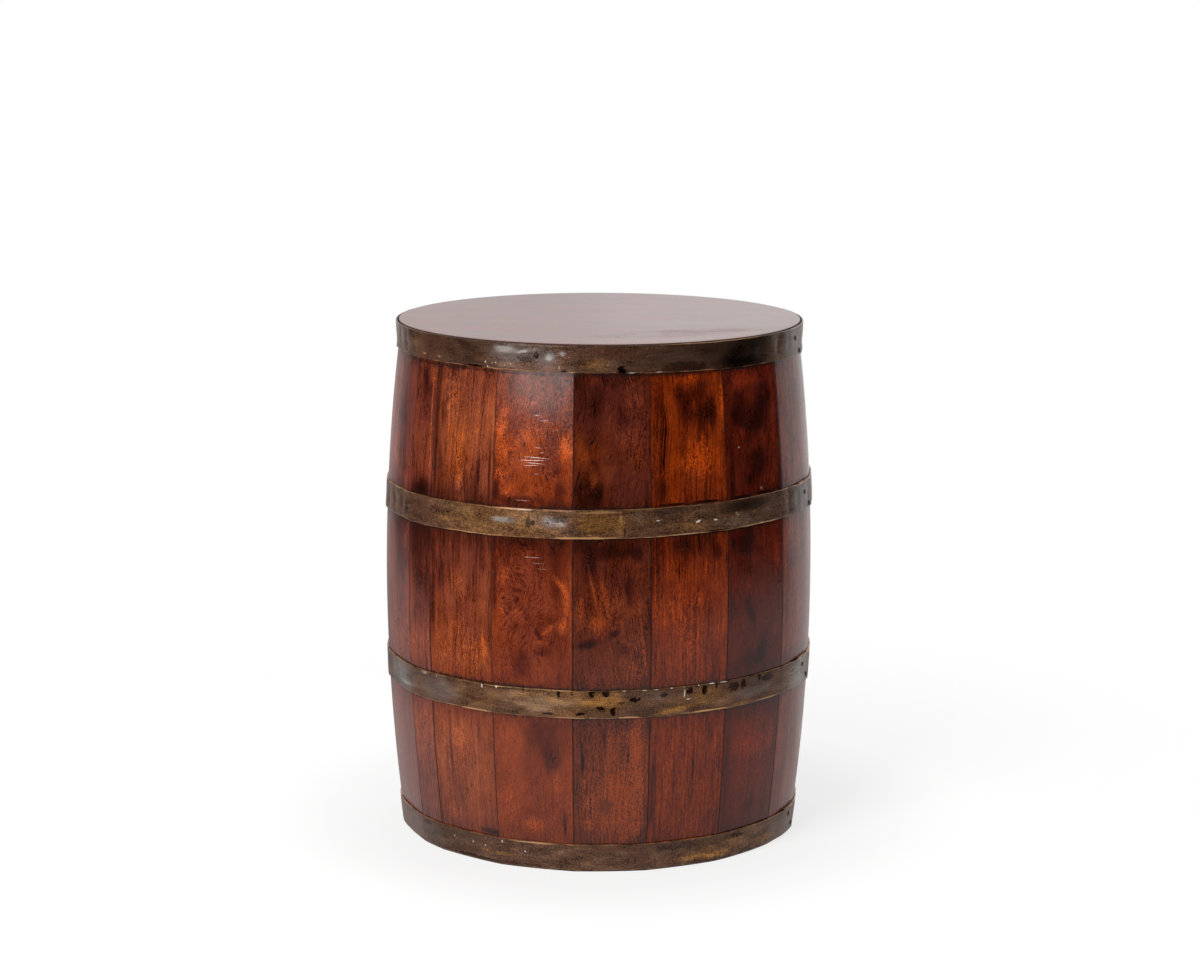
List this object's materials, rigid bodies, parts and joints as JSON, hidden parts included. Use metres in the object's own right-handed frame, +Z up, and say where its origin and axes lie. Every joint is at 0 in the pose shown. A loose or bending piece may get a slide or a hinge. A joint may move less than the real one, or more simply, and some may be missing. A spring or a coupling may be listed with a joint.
{
  "type": "drum side table",
  "caption": "Barrel-shaped wooden side table: bellied staves bound by brass hoops, with a flat round top.",
  "frame": {"origin": "on the floor, under the middle of the table", "axes": "+Z up through the tabletop, -Y is the side that faces the viewer, +X to the viewer's right"},
  "size_m": [0.3842, 0.3842, 0.457],
  "materials": {
    "stave_wood": "satin red-brown lacquer over figured hardwood",
    "top_wood": "satin red-brown lacquer",
    "inner_wood": "plain sawn",
    "dowel_wood": "plain beech",
    "hoop_brass": "hand-hammered, dark patina, bare edges",
    "pin_brass": "dark patina",
    "screw_steel": "plain steel"
  },
  "bodies": {
    "root": {"stave_01": "stave_wood", "stave_02": "stave_wood", "stave_03": "stave_wood", "stave_04": "stave_wood", "stave_05": "stave_wood", "stave_06": "stave_wood", "stave_07": "stave_wood", "stave_08": "stave_wood", "stave_09": "stave_wood", "stave_10": "stave_wood", "stave_11": "stave_wood", "stave_12": "stave_wood", "stave_13": "stave_wood", "stave_14": "stave_wood", "stave_15": "stave_wood", "stave_16": "stave_wood", "stave_17": "stave_wood", "stave_18": "stave_wood", "top_board_front": "top_wood", "top_board_middle": "top_wood", "top_board_rear": "top_wood", "bottom_board_front": "inner_wood", "bottom_board_middle": "inner_wood", "bottom_board_rear": "inner_wood", "left_batten": "inner_wood", "right_batten": "inner_wood", "rim_hoop": "hoop_brass", "upper_belly_hoop": "hoop_brass", "lower_belly_hoop": "hoop_brass", "foot_hoop": "hoop_brass", "rim_hoop_pins": "pin_brass", "upper_belly_hoop_pins": "pin_brass", "lower_belly_hoop_pins": "pin_brass", "foot_hoop_pins": "pin_brass", "top_dowels": "dowel_wood", "batten_screws": "screw_steel"}
  },
  "joints": []
}
